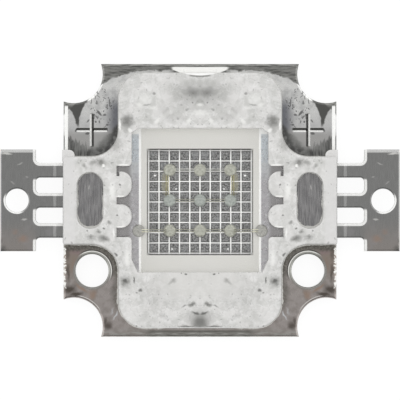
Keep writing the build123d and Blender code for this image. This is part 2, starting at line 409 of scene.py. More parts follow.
def dark_funnel(paint, grain):
    """Where the dark funnel hangs from the notch, and the dark rim of the notch above it."""
    foot_x, foot_y = 8.93, 5.4
    height = paint.most(paint.minus(paint.y, foot_y), 0.0)
    half_width = paint.times(height, paint.scaled(height, 0.19, 0.07))
    middle = paint.scaled(height, 0.12, foot_x)
    off_middle = paint.minus(paint.away_from(paint.side_x, middle), half_width)
    off_middle = paint.shaken(off_middle, grain, 0.3)
    funnel = paint.times(paint.fade(off_middle, 0.12, 0.02), paint.fade_y(5.2, 5.7))
    rim = paint.fade(from_notch(paint), notch_radius + 0.22, notch_radius + 0.12)
    return paint.most(funnel, paint.times(rim, paint.fade_x(8.1, 8.35)))


def top_ledge(paint, grain):
    """Where the streaky dark band along the top edge lies, dipping at the corners, and its colour."""
    level, straight_half = 9.5, 3.8
    bend = paint.math("POWER", paint.most(paint.minus(paint.side_x, straight_half), 0.0), 2.0)
    arc = paint.shaken(paint.scaled(bend, -0.085, level), grain, 0.6)
    rolled = paint.noise(7, detail=4, stretch=(0.2, 2.2, 1))
    band = paint.blend(rolled, 0.36, 0.62, plated(80, 80, 78), plated(128, 128, 125))
    return paint.fade(paint.minus(paint.y, arc), -0.08, 0.08), band


def upper_pits(paint, wander):
    """Where pits and short scratches lie between the notch and the plus mark."""
    pitted = paint.mark(7.3, 6.8, 1.5, 1.9, full=0.55)
    pitted = paint.times(pitted, paint.fade(paint.noise(1.7), 0.45, 0.56))
    upright = paint.specks(2.6, 0.26, paint.vector("MULTIPLY", wander, (1.6, 0.8, 1)))
    pits = paint.times(paint.most(upright, paint.specks(3.7, 0.24, wander)), pitted)
    return paint.most(pits, paint.marks(UPPER_SCRATCHES, full=0.5, at=paint.wander(5, 0.12)))


def plus_mark(paint):
    """Where the plus mark is stamped, and which walls of its strokes are in the light."""
    across = paint.minus(paint.side_x, land_x)
    along = paint.minus(paint.y, land_y)

    def stroke(beside, onward, length):
        width = paint.fade(paint.absolute(beside), plus_groove_width / 2 + 0.03, plus_groove_width / 2)
        return paint.times(width, paint.fade(paint.absolute(onward), length / 2, length / 2 - 0.1))

    level = stroke(along, across, plus_length_x)
    upright = stroke(across, along, plus_length_y)
    lit_level = paint.times(level, paint.fade(along, 0.01, -0.03), paint.minus(1.0, upright))
    lit_upright = paint.times(upright, paint.fade(across, -0.01, 0.03))
    return paint.most(level, upright), paint.most(lit_level, lit_upright)


def lens_highlight(paint):
    """A painted white highlight shaped like a lens over the top ledge and the edge of the body, and the
    dark line under it.
    """
    lowest_y, bow = 9.1, 0.12
    lower_edge = paint.scaled(paint.times(paint.x, paint.x), bow, lowest_y)
    above = paint.minus(paint.y, lower_edge)
    lens = paint.times(paint.fade(above, -0.03, 0.04), paint.fade_y(9.81, 9.74))
    lens = paint.times(lens, paint.fade_x(2.2, 1.9))
    line = paint.times(paint.near(above, -0.06, 0.08, 0.03), paint.fade_x(0.9, 0.6))
    return lens, line


def upper_lands(paint, depth, streaks, grain, wander):
    """Colour of the lands with the plus marks, how white and matt they are, and their pits."""
    tone = paint.blend(grain, 0.4, 0.7, plated(198, 198, 196), plated(174, 174, 173))
    tone = paint.mix(paint.times(paint.fade_y(7.0, 5.4), 0.6), tone, plated(167, 167, 167))
    # Painted shade: the land darker towards the body
    shade_beside_body = paint.times(paint.fade(depth, 0.7, 1.75), paint.fade_y(8.3, 6.6))
    tone = paint.mix(shade_beside_body, tone, plated(106, 107, 112))
    under_plus = paint.times(paint.fade_y(5.4, 4.7), 0.85)
    tone = paint.mix(under_plus, tone, plated(149, 148, 146))
    # Painted shade in the lower curve beside the plastic
    in_shade_band, shade_colour = upper_shade_band(paint, depth, streaks, grain)
    tone = paint.mix(in_shade_band, tone, shade_colour)
    tone = paint.mix(dark_funnel(paint, grain), tone, plated(82, 82, 80))
    on_ledge, ledge = top_ledge(paint, grain)
    tone = paint.mix(on_ledge, tone, ledge)
    pits = upper_pits(paint, wander)
    tone = paint.mix(paint.times(pits, 0.8), tone, plated(66, 66, 66))
    # Plus mark: painted shade in its strokes, and a painted highlight on the wall of each stroke that faces
    # the light
    stamped, lit = plus_mark(paint)
    tone = paint.mix(stamped, tone, plated(62, 62, 61))
    # Painted highlights in white: the upper part of the side edge, the lit walls of the plus mark and the
    # lens
    side_edge_highlight = paint.times(paint.fade_x(9.64, 9.7), paint.fade_x(9.93, 9.88))
    side_edge_highlight = paint.times(side_edge_highlight, paint.fade_y(3.6, 3.75), paint.fade_y(7.0, 6.85))
    white = paint.most(lit, lens_highlight(paint)[0], side_edge_highlight)
    return paint.mix(white, tone, HIGHLIGHT_WHITE), white, pits


def lower_dirt_and_shade(paint, tone, depth, fine, wander):
    """Stains, rust and a ragged band of painted shade beside the plastic, laid over the tone."""
    brown = paint.times(paint.fade_y(-6.2, -4.8), paint.fade_x(8.4, 9.1), 0.9)
    tone = paint.mix(brown, tone, plated(128, 118, 110))
    tone = paint.mix(paint.marks(LOWER_STAINS, at=wander), tone, plated(132, 115, 116))
    # Painted shade: a ragged darker band beside the plastic
    ragged_depth = paint.shaken(depth, paint.noise(1.3, detail=5, rough=0.65), 0.9)
    band = paint.times(paint.fade(ragged_depth, 1.3, 1.75), paint.fade_y(-8.3, -7.2))
    band = paint.times(band, paint.scaled(paint.fade_y(-5.9, -4.9), 0.35, 0.6))
    olive = paint.blend(fine, 0.42, 0.66, plated(82, 80, 75), plated(116, 114, 108))
    tone = paint.mix(band, tone, olive)
    tone = paint.mix(paint.marks(LOWER_DARK, full=0.2, at=wander), tone, plated(82, 76, 71))
    return paint.mix(paint.marks(LOWER_RUST, at=wander), tone, plated(136, 115, 100))


def bottom_ledge(paint, tone):
    """The ledge along the bottom edge laid over the tone, with its dark streak."""
    streak_y = -9.6
    rolled = paint.noise(6, detail=4, stretch=(0.2, 2.2, 1))
    bottom = paint.times(paint.fade_y(-9.48, -9.58), paint.fade_x(4.6, 3.4))
    bottom = paint.most(bottom, paint.times(paint.fade_y(-9.2, -9.75), paint.fade(rolled, 0.45, 0.6)))
    ledge = paint.blend(rolled, 0.4, 0.6, plated(110, 108, 104), plated(146, 145, 141))
    streak = paint.times(paint.near(paint.y, streak_y, 0.12, 0.04), paint.fade_x(4.8, 3.2))
    tone = paint.mix(bottom, tone, ledge)
    return paint.mix(paint.times(streak, 0.7), tone, plated(88, 86, 82))


def hole_rim(paint, tone):
    """The screw hole's rim laid over the tone, dull outside, with painted shade and a painted highlight on
    its upper inner side, and the line of that highlight.
    """
    chamfer_radius = 1.44
    across = paint.minus(paint.side_x, land_x)
    height = paint.plus(paint.y, land_y)
    from_hole = paint.length(across, height)
    # Painted shade and painted highlight only on the upper inner side of the rim
    upper_inner = paint.fade(paint.minus(paint.times(height, 0.8), paint.times(across, 0.6)), 0.1, 0.9)
    dark_ring = paint.fade(from_hole, chamfer_radius + 0.18, chamfer_radius + 0.06)
    tone = paint.mix(paint.times(dark_ring, upper_inner), tone, plated(70, 69, 65))
    dull_rim = paint.fade(from_hole, hole_radius + 0.2, hole_radius + 0.12)
    tone = paint.mix(dull_rim, tone, plated(128, 126, 122))
    chamfer = paint.times(paint.fade(from_hole, chamfer_radius + 0.01, chamfer_radius - 0.02), upper_inner)
    tone = paint.mix(chamfer, tone, plated(152, 152, 147))
    return tone, paint.times(paint.near(from_hole, chamfer_radius, 0.05, 0.02), upper_inner)


def lower_lands(paint, depth, grain, wander):
    """Colour of the lands with the screw holes, and how white and matt they are."""
    fine = paint.noise(6, detail=4, rough=0.7)
    tone = paint.blend(grain, 0.38, 0.68, plated(146, 140, 137), plated(130, 124, 120))
    tone = bottom_ledge(paint, lower_dirt_and_shade(paint, tone, depth, fine, wander))
    tone = paint.mix(paint.marks(LOWER_SCUFFS, at=wander), tone, plated(188, 190, 192))
    tone, line = hole_rim(paint, tone)

    # Painted highlight lines along the notch, joined to the hole's, and a speckled outer edge
    inner_part = paint.times(paint.fade_x(9.1, 8.7), paint.fade_x(7.2, 7.5))
    notch_line = paint.near(from_notch(paint), notch_radius + 0.17, 0.05, 0.01)
    line = paint.most(line, paint.times(notch_line, inner_part, 0.5))
    ragged_x = paint.shaken(paint.side_x, fine, 0.55)
    edge = paint.times(paint.fade(ragged_x, 9.82, 9.87), paint.fade_y(-6.7, -6.2))
    edge = paint.times(edge, paint.fade(paint.noise(4, detail=1), 0.42, 0.52))
    white = paint.most(line, edge)
    return paint.mix(white, tone, seen(246, 245, 241)), white


def pit_floor(paint, from_middle):
    """Colour of the coined grid with painted light and shade, how white and matt it is, and its relief."""
    groove_half = 0.04
    mottle = paint.noise(8, detail=7, rough=0.75)
    squares = paint.blend(mottle, 0.4, 0.6, plated(66, 66, 66), plated(152, 152, 151))
    cells = paint.fade(paint.noise(1.3, detail=1), 0.5, 0.7)
    squares = paint.mix(paint.times(cells, 0.35), squares, plated(152, 154, 155))
    column = paint.math("PINGPONG", paint.x, grid_pitch / 2)
    row = paint.math("PINGPONG", paint.minus(paint.y, grid_centre_y), grid_pitch / 2)
    near_groove = paint.least(paint.minus(column, 0.01), row)
    # Painted shade beside each groove
    groove_shade = paint.times(paint.fade(near_groove, groove_half + 0.09, groove_half + 0.03), 0.6)
    squares = paint.mix(groove_shade, squares, plated(76, 76, 76))
    # Painted reflection of the gold wires in the floor
    wire_reflection = paint.mark(2.58, 1.25, 0.3, 1.0, full=0.6)
    squares = paint.mix(paint.times(wire_reflection, 0.55), squares, plated(156, 153, 134))
    # Painted shadow of the pit's wall round the edge of the grid
    inside = paint.fade(from_middle, grid_half + 0.09, grid_half + 0.05)
    squares = paint.mix(inside, plated(66, 66, 65), squares)
    # Painted highlights along the grooves, and white sparks
    lines = paint.times(paint.fade(near_groove, groove_half + 0.011, groove_half - 0.011), inside)
    white = paint.most(lines, paint.marks(GRID_SPARKS, full=0.4))
    return paint.mix(white, squares, PAINTED_LIGHT_WHITE), white, mottle


def plate_sides(paint, grain):
    """Colour of the sheared sides, burnished near the top, and of the scratched underside."""
    sheared = paint.fade(paint.noise(5, detail=4, stretch=(1, 1, 0.15)), 0.35, 0.65)
    torn = paint.mix(sheared, seen(112, 109, 105), seen(150, 148, 144))
    burnished = paint.mix(sheared, seen(146, 145, 143), seen(166, 165, 163))
    torn_height = 0.9
    side = paint.blend(paint.z, torn_height, torn_height + 0.15, torn, burnished)
    scratched = paint.noise(6, detail=4, stretch=(0.15, 2, 1))
    below = paint.blend(scratched, 0.4, 0.66, seen(178, 177, 175), seen(150, 149, 147))
    below = paint.mix(paint.times(paint.fade(grain, 0.5, 0.7), 0.4), below, seen(160, 154, 148))
    return paint.blend(paint.z, 0.08, 0.03, side, below)


def paint_plate():
    paint = Paint("plate_plating")
    wander = paint.wander(1.6, 0.5)
    streaks = paint.noise(7, stretch=(1.6, 0.12, 1))
    grain = paint.noise(2.2, detail=5)

    # Place on a corner land: depth runs from 0 at its middle to the land's radius at the plastic
    inward = paint.least(paint.minus(paint.side_x, land_x), 0.0)
    downward = paint.least(paint.minus(paint.absolute(paint.y), land_y), 0.0)
    depth = paint.length(inward, downward)

    upper, upper_white, pits = upper_lands(paint, depth, streaks, grain, wander)
    lower, lower_white = lower_lands(paint, depth, grain, wander)
    is_upper = paint.fade_y(-0.2, 0.2)
    from_middle = paint.most(paint.side_x, paint.away_from(paint.y, grid_centre_y))
    pit, pit_white, mottle = pit_floor(paint, from_middle)
    in_pit = paint.fade(from_middle, grid_half + 0.25, grid_half + 0.2)
    on_top = paint.fade_z(plate_top - 0.26, plate_top - 0.16)
    top = paint.mix(in_pit, paint.mix(is_upper, lower, upper), pit)
    paint.colour(paint.mix(on_top, plate_sides(paint, grain), top))
    # Painted highlights, and the speckled outer edge, are matt white, not metal
    white = paint.mix_value(is_upper, lower_white, upper_white)
    white = paint.times(paint.mix_value(in_pit, white, pit_white), on_top)
    paint.metallic(paint.scaled(white, -0.92, 1.0))
    paint.roughness(paint.scaled(grain, 0.2, 0.2))
    relief = paint.mix_value(in_pit, paint.times(streaks, 0.3), mottle)
    paint.bump(paint.scaled(pits, -0.7, relief), depth=0.012)
    paint.put_on("base_plate")


# Marks on the leads: centre, radii, degrees and strength

TAB_RUST = [
    (12.95, -2.8, 0.6, 0.45, 0, 0.8),
    (13.5, -2.3, 0.4, 0.3, 0, 0.5),
]
TAB_CORNER = [
    (14.6, -3.7, 0.7, 0.6, 0, 1.0),
    (14.6, -3.2, 0.2, 1.0, 0, 0.7),
]
# Pale scuffs; the long mark near the top of the tab is a painted highlight
LEAD_SCUFFS_AND_HIGHLIGHT = [
    (13.15, 2.68, 0.3, 0.08, -20, 0.4),
    (12.65, 1.7, 0.2, 0.08, 10, 0.3),
    (12.85, -1.4, 0.32, 0.09, -5, 0.6),
    (13.7, 1.3, 0.3, 0.07, 40, 0.25),
    (14.15, 3.42, 0.55, 0.1, 3, 1.0),
    (8.11, 0.98, 0.04, 0.25, 0, 0.7),
]


# Leads: plated strip with a fine vertical grain and painted highlights along its edges

def lead_edge_highlights(paint):
    """How strong the painted highlight is along the upper punched edges of the bars and the inner and top
    edges of the tab.
    """
    width = 0.2
    half_length = 2.0
    beyond = 3 * bar_pitch
    side_bar = bar_pitch + bar_half
    openings = [
        (side_bar, side_bar + beyond),
        (bar_half, bar_pitch - bar_half),
        (bar_half - bar_pitch, -bar_half),
        (-side_bar - beyond, -side_bar),
    ]
    top_band = paint.fade_y(tab_top - width - 0.04, tab_top - width)
    top_band = paint.times(top_band, paint.fade_y(tab_top - 0.03, tab_top - 0.09), 0.5)
    strongest = paint.times(top_band, paint.fade_x(tab_inner - 0.1, tab_inner))
    for low, high in openings:
        centre, reach = (low + high) / 2, (high - low) / 2
        out_x = paint.away_from(paint.side_x, tab_inner - half_length)
        out_x = paint.plus(out_x, slot_corner_radius - half_length)
        out_y = paint.plus(paint.away_from(paint.y, centre), slot_corner_radius - reach)
        away = paint.length(paint.most(out_x, 0.0), paint.most(out_y, 0.0))
        away = paint.minus(away, slot_corner_radius)
        edge = paint.times(paint.fade(away, width + 0.03, width), paint.fade(away, -0.3, -0.1))
        edge = paint.times(edge, paint.fade_y(high - 0.02, high - 0.2), 0.85)
        strongest = paint.most(strongest, edge)
    return paint.times(strongest, paint.fade_x(arm_end - 0.06, arm_end))


def hole_rim_highlight(paint):
    """A painted highlight on the low outer side of the tab hole's rim."""
    across = paint.minus(paint.side_x, tab_hole_x)
    from_hole = paint.length(across, paint.y)
    low_outer = paint.fade(paint.minus(paint.times(across, 0.7), paint.times(paint.y, 0.7)), 0.1, 0.6)
    rim = paint.fade(from_hole, tab_hole_radius + 0.16, tab_hole_radius + 0.11)
    return paint.times(rim, low_outer)


def bond_bar(paint, cloud):
    """Colour of the bar and the fingers in the recess."""
    bar = paint.blend(paint.y, 1.0, 3.4, plated(164, 162, 164), plated(178, 184, 188))
    bar = paint.mix(paint.times(paint.fade(cloud, 0.45, 0.7), 0.5), bar, plated(182, 182, 181))
    flecks = paint.times(paint.fade(paint.noise(5, detail=4), 0.48, 0.62), 0.4)
    bar = paint.mix(flecks, bar, plated(140, 140, 142))
    bar = paint.mix(paint.times(paint.fade(paint.noise(3.1), 0.55, 0.68), 0.6), bar, plated(188, 189, 189))
    return paint.mix(paint.fade_x(4.9, 5.3), bar, plated(138, 136, 136))


def paint_leads():
    paint = Paint("lead_plating")
    brushing = paint.noise(14, detail=4, stretch=(1.4, 0.1, 0.3))
    cloud = paint.noise(1.1, detail=4)
    wander = paint.wander(3, 0.3)
    metal = paint.blend(brushing, 0.3, 0.72, plated(115, 115, 114), plated(124, 124, 123))
    low_tab = paint.times(paint.fade_y(-1.0, -3.4), paint.fade_x(11.6, 12.4))
    metal = paint.mix(paint.times(low_tab, 0.7), metal, plated(134, 128, 124))
    metal = paint.mix(paint.times(paint.fade(cloud, 0.52, 0.72), 0.4), metal, plated(137, 135, 136))
    metal = paint.mix(paint.marks(TAB_RUST, at=wander), metal, plated(140, 122, 111))
    metal = paint.mix(paint.marks(TAB_CORNER, at=wander), metal, plated(82, 82, 80))

    # Pad in the window, drawn with coarser upright streaks
    drawn = paint.noise(9, detail=5, stretch=(1.5, 0.1, 1), rough=0.7)
    pad = paint.blend(drawn, 0.36, 0.64, plated(106, 105, 106), plated(140, 139, 139))
    metal = paint.blend(paint.side_x, 9.6, 9.2, metal, pad)
    # Pale scuffs, and a painted highlight near the top of the tab
    scuffs_and_highlight = paint.marks(LEAD_SCUFFS_AND_HIGHLIGHT, full=0.3, at=paint.wander(4, 0.15))
    metal = paint.mix(scuffs_and_highlight, metal, plated(196, 195, 192))
    in_recess = paint.fade_x(body_half_x + 0.4, body_half_x)
    metal = paint.mix(in_recess, metal, bond_bar(paint, cloud))

    # Painted highlights in white: along the upper and inner edges, the bar's inner edge, the recess corner
    # and one side of the hole's rim
    along_bar = paint.fade_x(bar_inner + 0.2, bar_inner + 0.16)
    recess_corner = paint.times(paint.fade_y(4.8, 4.9), in_recess)
    white = paint.most(along_bar, recess_corner, hole_rim_highlight(paint), lead_edge_highlights(paint))
    white = paint.times(white, paint.fade_z(lead_top - 0.27, lead_top - 0.2))
    paint.colour(paint.mix(white, metal, seen(246, 246, 244)))
    paint.metallic(paint.scaled(white, -0.9, 1.0))
    paint.roughness(paint.scaled(cloud, 0.2, 0.18))
    paint.bump(brushing, depth=0.003)
    paint.put_on("lead_left", "lead_right")


# Marks on the housing: centre, radii, degrees and strength

SMUDGES = [
    (5.3, 5.78, 0.7, 0.75, 0, 1.0),
    (5.3, 5.2, 0.5, 0.5, 0, 0.5),
    (7.25, 2.78, 0.5, 0.42, 0, 1.0),
    (7.85, 2.75, 0.5, 0.35, 0, 0.6),
    (8.37, 2.5, 0.35, 0.2, 30, 0.6),
    (7.03, -2.8, 0.55, 0.4, 0, 1.0),
    (7.93, -2.7, 0.5, 0.3, 0, 0.8),
    (7.37, -2.3, 0.25, 0.2, 0, 0.9),
    (6.64, -1.62, 0.25, 0.25, 0, 0.8),
    (6.1, -2.6, 0.2, 0.5, 0, 0.4),
    (5.46, -5.89, 0.5, 0.6, 0, 0.9),
    (0.0, -8.95, 0.95, 0.8, 0, 1.0),
    (0.3, -8.25, 0.45, 0.2, 15, 1.0),
    (0.6, -7.55, 0.45, 0.2, -10, 1.0),
    (1.1, -7.65, 0.35, 0.13, -30, 0.8),
    (0.0, -9.17, 2.2, 0.1, 0, 0.9),
    (1.98, -5.9, 0.6, 0.2, -35, 0.6),
    (2.6, -8.5, 0.9, 0.3, 30, 0.35),
    (6.2, 4.1, 0.8, 0.9, 0, 0.5),
    (2.4, 6.5, 0.9, 0.8, 20, 0.3),
]
SHADES = [
    (0.0, 7.85, 2.7, 0.95, 0, 0.62),
    (0.5, 7.87, 1.45, 0.8, 0, 0.85),
    (0.0, 7.75, 3.4, 1.6, 0, 0.5),
    (1.1, 7.2, 0.6, 1.0, 25, 0.35),
    (5.3, 5.75, 0.85, 0.85, 0, 0.5),
    (7.25, 2.78, 0.8, 0.5, 0, 0.35),
    (7.1, -2.75, 0.8, 0.5, 0, 0.4),
    (5.46, -5.89, 0.6, 0.8, 0, 0.4),
    (0.0, -8.7, 1.4, 1.3, 0, 0.6),
    (0.0, -8.95, 0.9, 0.85, 0, 1.0),
    (0.0, -8.35, 0.9, 0.4, 0, 0.45),
    (2.2, 6.0, 1.6, 0.7, 0, 0.15),
    (3.2, -7.0, 2.6, 1.6, 20, 0.12),
]
SPOTS = [
    (3.35, 7.8, 0.17, 0.12, 20, 0.55),
    (3.85, 6.97, 0.4, 0.08, -10, 0.55),
    (0.53, 7.12, 0.09, 0.09, 0, 0.6),
    (0.95, 6.6, 0.17, 0.15, 0, 0.45),
    (1.6, 5.97, 0.15, 0.12, 0, 0.4),
    (5.46, -5.86, 0.2, 0.22, 0, 0.9),
    (4.79, -5.8, 0.09, 0.3, 0, 0.9),
    (4.34, -6.55, 0.22, 0.16, 0, 0.8),
    (4.6, -6.75, 0.12, 0.08, 0, 0.7),
    (1.03, -5.36, 0.14, 0.1, 0, 0.9),
    (1.35, -5.3, 0.08, 0.07, 0, 0.7),
    (4.64, -9.17, 0.12, 0.06, 0, 0.9),
    (0.3, -8.23, 0.35, 0.12, 15, 0.7),
    (0.6, -7.56, 0.3, 0.09, -8, 0.45),
    (1.1, -9.18, 0.7, 0.07, 0, 0.75),
    (6.12, -3.95, 0.25, 0.1, 40, 0.8),
    (7.0, -2.05, 0.12, 0.1, 0, 0.8),
    (8.2, -2.2, 0.12, 0.1, 0, 0.6),
    (6.95, 1.1, 0.1, 0.1, 0, 0.5),
    (5.83, 1.13, 0.09, 0.09, 0, 0.8),
    (6.38, 1.13, 0.09, 0.09, 0, 0.7),
    (6.03, -1.1, 0.12, 0.08, 0, 0.8),
    (9.75, 3.3, 0.3, 0.05, 0, 0.5),
]
# Pale marks; those along the lower edges of the upper block and the lobes are painted highlights
PALE_MARKS_AND_HIGHLIGHTS = [
    (4.0, 7.4, 0.7, 0.65, 0, 0.45),
    (4.4, 6.95, 0.35, 0.3, 20, 0.5),
    (3.5, 6.75, 0.5, 0.2, 0, 0.35),
    (0.0, 6.97, 0.36, 0.16, 0, 0.6),
    (0.0, 6.4, 0.9, 0.3, 0, 0.35),
    (0.8, 5.8, 0.36, 0.22, -60, 0.6),
    (3.1, 5.8, 0.42, 0.22, -50, 0.6),
    (2.4, 6.3, 0.8, 0.28, -35, 0.25),
    (5.85, 5.5, 0.12, 0.6, 0, 1.0),
    (5.1, 5.1, 0.3, 0.2, 30, 0.8),
    (7.03, 2.52, 0.18, 0.14, 0, 1.0),
    (5.5, 2.57, 0.7, 0.09, 0, 1.0),
    (5.75, 0.3, 0.55, 0.09, 0, 1.0),
    (5.75, -1.92, 0.55, 0.09, 0, 1.0),
    (6.4, 0.7, 0.3, 0.9, 0, 0.7),
    (6.28, -2.4, 0.12, 0.5, 0, 0.8),
    (5.3, -4.2, 0.25, 0.9, 0, 0.6),
    (4.8, 3.9, 0.4, 0.2, 0, 0.6),
]


# Housing: matt white plastic with moulding marks, dust and dirt, and painted light and shade

def clean_plastic(paint, wander, close, cloud, fine):
    """Mottled white with the pale and grey lines that the moulding left."""
    plastic = paint.blend(cloud, 0.35, 0.68, seen(217, 216, 214), seen(198, 198, 195))
    soft = paint.noise(1.9, detail=1, at=wander)
    dust = paint.noise(9, detail=3, rough=0.7)
    layers = [
        (paint.fade(fine, 0.5, 0.72), 0.35, seen(186, 186, 183)),
        (paint.fade(fine, 0.46, 0.3), 0.4, seen(232, 232, 231)),
        (paint.fade(soft, 0.5, 0.7), 0.45, seen(230, 229, 228)),
        (paint.fade(soft, 0.45, 0.25), 0.45, seen(192, 192, 189)),
        (paint.ridges(1.1, 0.03, wander), 0.3, seen(238, 238, 237)),
        (paint.ridges(0.8, 0.02, close), 0.25, seen(170, 170, 167)),
        (paint.fade(dust, 0.62, 0.76), 0.18, seen(150, 150, 146)),
        (paint.fade_x(9.0, 9.25), 0.75, seen(216, 215, 214)),
    ]
    for place, strength, colour in layers:
        plastic = paint.mix(paint.times(place, strength), plastic, colour)
    return plastic


def recess_plastic(paint, plastic, on_floor, wander):
    """The smoother floor of the recess, with painted light near its upper wall and on its end walls, laid
    over the plastic.
    """
    # Painted light: the floor lighter towards its upper wall
    floor_with_painted_light = paint.blend(paint.y, 4.1, 5.3, seen(211, 210, 205), seen(225, 224, 219))
    plastic = paint.mix(on_floor, plastic, floor_with_painted_light)
    calm = paint.mark(0.0, -5.9, 4.6, 1.9, full=0.3, at=wander)
    plastic = paint.mix(paint.times(calm, 0.7), plastic, seen(212, 211, 208))
    # Painted light on the end walls of the recess
    end_half_x, foot = 5.0, 2.1
    in_width = paint.fade_x(end_half_x + 0.05, end_half_x - 0.05)
    in_height = paint.times(paint.fade_z(fill_top + 0.04, fill_top), paint.fade_z(foot, foot + 0.1))
    near_end = paint.near(paint.absolute(paint.y), recess_half_y, 0.25, 0.15)
    return paint.mix(paint.times(in_width, in_height, near_end), plastic, PAINTED_LIGHT_WHITE)


def marked_plastic(paint, plastic, wander, close, fine):
    """Smudges, shades, spots, and pale marks with painted highlights on the top, laid over the plastic."""
    on_top = paint.fade_z(fill_top - 0.25, fill_top - 0.1)
    smudges = paint.times(paint.marks(SMUDGES, at=wander), paint.scaled(fine, 1.3, 0.2))
    shades = paint.marks(SHADES, at=paint.wander(1.2, 0.4))
    dots = paint.times(paint.specks(1.7, 0.13, wander), paint.fade(paint.noise(0.8), 0.46, 0.56))
    dirt = paint.most(paint.times(dots, 0.35), paint.marks(SPOTS, full=0.3, at=close))
    layers = [
        (smudges, seen(106, 106, 102)),
        (shades, seen(118, 118, 115)),
        (dirt, seen(92, 92, 89)),
        # Pale marks and painted highlights
        (paint.marks(PALE_MARKS_AND_HIGHLIGHTS, full=0.2, at=close), seen(243, 243, 240)),
    ]
    for place, colour in layers:
        plastic = paint.mix(paint.times(place, on_top), plastic, colour)
    return plastic


def rims(paint, plastic, on_floor):
    """The painted lens highlight and the dark line under it, a painted highlight along the bottom rim and a
    painted shadow at the pit's rim, laid over the plastic.
    """
    bottom_y = -9.28
    lens, line = lens_highlight(paint)
    on_rim = paint.fade_z(housing_top - 0.6, housing_top - 0.3)
    # Painted highlight: the white lens
    plastic = paint.mix(paint.times(lens, on_rim), plastic, HIGHLIGHT_WHITE)
    plastic = paint.mix(paint.times(line, on_rim, 0.7), plastic, seen(110, 110, 106))
    # Painted highlight along the rounded bottom rim
    bottom_rim_highlight = paint.times(paint.near(paint.y, bottom_y, 0.07, 0.03), 0.5)
    plastic = paint.mix(bottom_rim_highlight, plastic, seen(236, 236, 234))
    # Painted shadow of the pit's wall on the floor at its rim
    from_pit = paint.most(paint.side_x, paint.away_from(paint.y, grid_centre_y))
    pit_rim_shadow = paint.times(paint.fade(from_pit, pit_half + 0.07, pit_half + 0.03), on_floor)
    pit_rim_shadow = paint.times(pit_rim_shadow, paint.scaled(paint.fade_x(3.8, 3.6), 0.45, 0.55))
    return paint.mix(pit_rim_shadow, plastic, seen(112, 111, 108))


def housing_material():
    paint = Paint("housing_plastic")
    wander = paint.wander(2.2, 0.5)
    close = paint.wander(4, 0.18)
    cloud = paint.noise(0.9, detail=4)
    fine = paint.noise(3.4, detail=6, rough=0.7)
    on_floor = paint.fade_z(floor_top + 0.25, floor_top + 0.1)
    plastic = clean_plastic(paint, wander, close, cloud, fine)
    plastic = recess_plastic(paint, plastic, on_floor, wander)
    plastic = marked_plastic(paint, plastic, wander, close, fine)
    paint.colour(rims(paint, plastic, on_floor))
    paint.roughness(paint.scaled(fine, 0.25, 0.42))
    relief = paint.scaled(cloud, 0.8, paint.times(fine, 0.6))
    paint.bump(paint.times(relief, paint.minus(1.0, on_floor)), depth=0.035)
    return paint


# Drops: cloudy silicone, greener in the outer rows and duller on the leads

def paint_drops(name, pale, deep, names):
    paint = Paint(name)
    cloud = paint.noise(5.5, detail=4, rough=0.65)
    paint.colour(paint.blend(cloud, 0.35, 0.65, pale, deep))
    paint.roughness(paint.scaled(cloud, 0.3, 0.25))
    paint.bump(cloud, depth=0.02)
    paint.put_on(*names)


# Dies and their adhesive

def paint_dies(names):
    paint = Paint("die")
    across = paint.noise(12, detail=2)
    paint.colour(paint.mix(across, seen(150, 160, 165), seen(182, 190, 186)))
    paint.roughness(paint.scaled(across, 0.2, 0.15))
    paint.bump(across, depth=0.003)
    paint.put_on(*names)


def paint_adhesive(names):
    paint = Paint("die_adhesive")
    grain = paint.noise(10, detail=3)
    paint.colour(paint.mix(grain, seen(205, 205, 200), seen(185, 185, 180)))
    paint.roughness(paint.scaled(grain, 0.2, 0.45))
    paint.bump(grain, depth=0.006)
    paint.put_on(*names)


# Bond wires: fine drawn gold, paler over the recess floor than in the pit

def paint_wires(name, dull, bright, names):
    paint = Paint(name)
    drawn = paint.noise(9, detail=2)
    in_pit = paint.mix(drawn, dull, bright)
    paint.colour(paint.blend(paint.side_x, pit_half - 0.15, pit_half + 0.05, in_pit, plated(206, 205, 186)))
    paint.metallic(1.0)
    paint.roughness(paint.scaled(drawn, 0.2, 0.2))
    paint.bump(drawn, depth=0.003)
    paint.put_on(*names)


def starting(*words):
    """The CAD nodes whose names start with one of the words."""
    return [name for name in nodes if name.startswith(words)]


paint_plate()
paint_leads()
housing_paint = housing_material()
housing_paint.put_on("housing")
paint_drops("drop_silicone", seen(182, 183, 171), seen(150, 151, 139), starting("drop_upper", "drop_lower"))
paint_drops("drop_silicone_cool", seen(171, 176, 170), seen(139, 145, 139), starting("drop_middle"))
paint_drops("drop_silicone_lead", seen(178, 177, 171), seen(140, 140, 134), starting("drop_lead"))
adhesive = starting("die_attach")
paint_dies([name for name in starting("die_") if name not in adhesive])
paint_adhesive(adhesive)
upright_wires = [name for name in starting("wires_upper") if "middle" in name]
level_wires = [name for name in starting("wires_upper") if "middle" not in name]
paint_wires("bond_gold", plated(146, 141, 104), plated(172, 167, 132), upright_wires)
paint_wires("bond_gold_bright", plated(194, 194, 184), plated(218, 218, 210), level_wires)
other_wires = starting("wires_middle", "wires_lower", "wires_lead")
paint_wires("bond_gold_dull", plated(134, 133, 120), plated(164, 163, 150), other_wires)


# Silicone: the cast fill, drawn a hair inside the walls, with its gloss on the open surface

def silicone_material():
    refraction = 1.41
    paint = Paint("clear_silicone")
    paint.colour(seen(250, 250, 248))
    paint.roughness(0.08)
    paint.bump(paint.noise(0.6, detail=2), depth=0.02)
    gloss = paint.node("ShaderNodeFresnel", IOR=refraction).outputs[0]
    front = paint.minus(1.0, paint.node("ShaderNodeNewGeometry").outputs["Backfacing"])
    on_surface = paint.fade_z(fill_top - 0.006, fill_top - 0.002)
    paint.plug(paint.shader.inputs["Alpha"], paint.times(gloss, front, on_surface))
    return paint.material


